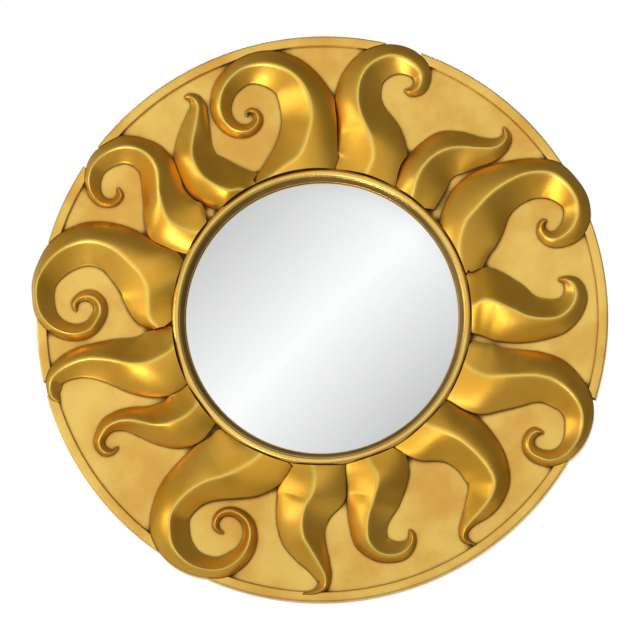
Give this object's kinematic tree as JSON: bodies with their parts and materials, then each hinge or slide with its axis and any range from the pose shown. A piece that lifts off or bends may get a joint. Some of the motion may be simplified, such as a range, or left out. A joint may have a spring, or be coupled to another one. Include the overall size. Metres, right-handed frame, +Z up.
{
  "type": "convex wall mirror",
  "caption": "Round convex mirror in a carved gilt sunburst frame: curling scroll rays in relief on a flat disc between a moulded sight ring and a raised rim.",
  "frame": {"origin": "on the mirror's axis, in the plane of the wall that the bumpers touch", "axes": "+Z up, the front faces -Y, +X to the right as seen from the front"},
  "size_m": [0.7693, 0.0535, 0.762],
  "materials": {
    "ground_gilding": "gold leaf with a soft satin sheen over carved wood",
    "burnished_gilding": "burnished gold leaf over turned wood, dark glaze in the quirks",
    "carved_gilding": "gold leaf over carved wood, toned with umber glaze, crests rubbed bright",
    "mirror_glass": "silvered convex glass",
    "packing": "pressed felt packing",
    "board": "brown fibreboard",
    "steel": "plated pressed steel",
    "screw_steel": "plated screw steel",
    "felt": "dark felt pad"
  },
  "bodies": {
    "frame": {"ground_panel": "ground_gilding", "sight_ring": "burnished_gilding", "ray_a_scroll": "carved_gilding", "ray_b_crook": "carved_gilding", "ray_c_flame": "carved_gilding", "ray_d_scroll": "carved_gilding", "ray_e_hook": "carved_gilding", "ray_f_scroll": "carved_gilding", "ray_g_flame": "carved_gilding", "ray_h_hook": "carved_gilding", "ray_i_flame": "carved_gilding", "ray_j_scroll": "carved_gilding", "ray_k_scroll": "carved_gilding", "ray_l_flame": "carved_gilding", "ray_m_scroll": "carved_gilding", "ray_n_scroll": "carved_gilding", "ray_o_flame": "carved_gilding", "convex_glass": "mirror_glass", "packing_ring": "packing", "back_board": "board", "button_screw_1": "screw_steel", "button_screw_2": "screw_steel", "button_screw_3": "screw_steel", "button_screw_4": "screw_steel", "button_screw_5": "screw_steel", "button_screw_6": "screw_steel", "hanger_strap_left": "steel", "hanger_strap_right": "steel", "strap_screw_1": "screw_steel", "strap_screw_2": "screw_steel", "strap_screw_3": "screw_steel", "strap_screw_4": "screw_steel", "wall_bumper_1": "felt", "wall_bumper_2": "felt", "wall_bumper_3": "felt", "wall_bumper_4": "felt"},
    "turn_button_1": {"turn_button_1": "steel"},
    "turn_button_2": {"turn_button_2": "steel"},
    "turn_button_3": {"turn_button_3": "steel"},
    "turn_button_4": {"turn_button_4": "steel"},
    "turn_button_5": {"turn_button_5": "steel"},
    "turn_button_6": {"turn_button_6": "steel"},
    "d_ring_left": {"d_ring_left": "steel"},
    "d_ring_right": {"d_ring_right": "steel"}
  },
  "joints": [
    {"name": "turn_button_1_pivot", "type": "hinge", "parent": "frame", "child": "turn_button_1", "pos_m": [0.18619, -0.005, 0.1075], "axis": [0, 1, 0], "continuous": true},
    {"name": "turn_button_2_pivot", "type": "hinge", "parent": "frame", "child": "turn_button_2", "pos_m": [0, -0.005, 0.215], "axis": [0, 1, 0], "continuous": true},
    {"name": "turn_button_3_pivot", "type": "hinge", "parent": "frame", "child": "turn_button_3", "pos_m": [-0.18619, -0.005, 0.1075], "axis": [0, 1, 0], "continuous": true},
    {"name": "turn_button_4_pivot", "type": "hinge", "parent": "frame", "child": "turn_button_4", "pos_m": [-0.18619, -0.005, -0.1075], "axis": [0, 1, 0], "continuous": true},
    {"name": "turn_button_5_pivot", "type": "hinge", "parent": "frame", "child": "turn_button_5", "pos_m": [0, -0.005, -0.215], "axis": [0, 1, 0], "continuous": true},
    {"name": "turn_button_6_pivot", "type": "hinge", "parent": "frame", "child": "turn_button_6", "pos_m": [0.18619, -0.005, -0.1075], "axis": [0, 1, 0], "continuous": true},
    {"name": "d_ring_left_swing", "type": "hinge", "parent": "frame", "child": "d_ring_left", "pos_m": [-0.262, -0.0033, 0.096], "axis": [1, 0, 0], "range_deg": [-160, 0]},
    {"name": "d_ring_right_swing", "type": "hinge", "parent": "frame", "child": "d_ring_right", "pos_m": [0.262, -0.0033, 0.096], "axis": [1, 0, 0], "range_deg": [-160, 0]}
  ]
}
